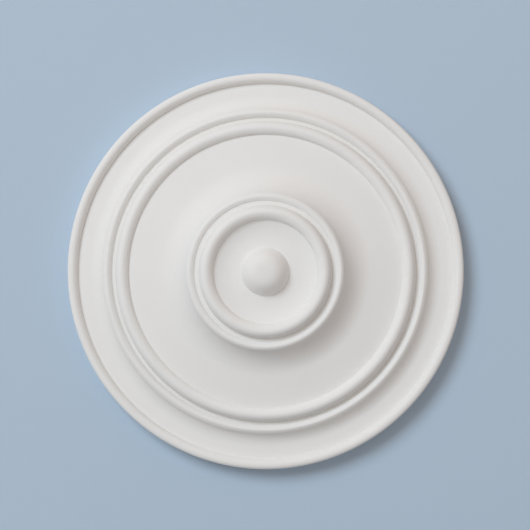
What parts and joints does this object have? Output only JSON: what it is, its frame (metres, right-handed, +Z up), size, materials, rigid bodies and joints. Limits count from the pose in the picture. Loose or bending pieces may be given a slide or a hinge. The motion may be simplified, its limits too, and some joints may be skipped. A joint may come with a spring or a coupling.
{
  "type": "ceiling rose",
  "caption": "Plain round cast-plaster ceiling rose: turned rings of beads and coves round a domed button in a shallow dish, with a flat back that is fixed to a ceiling.",
  "frame": {"origin": "centre of the flat back, where the rose meets the ceiling", "axes": "the flat back lies in the plane y = 0 and faces +Y, the moulded face looks along -Y, +Z is up in the picture; when the rose is fitted, +Y points up to the ceiling"},
  "size_m": [0.4, 0.0728, 0.4],
  "materials": {
    "cast_plaster": "matte white cast gypsum plaster, smooth on the face and plainer on the back"
  },
  "bodies": {
    "root": {"ceiling_rose": "cast_plaster"}
  },
  "joints": []
}
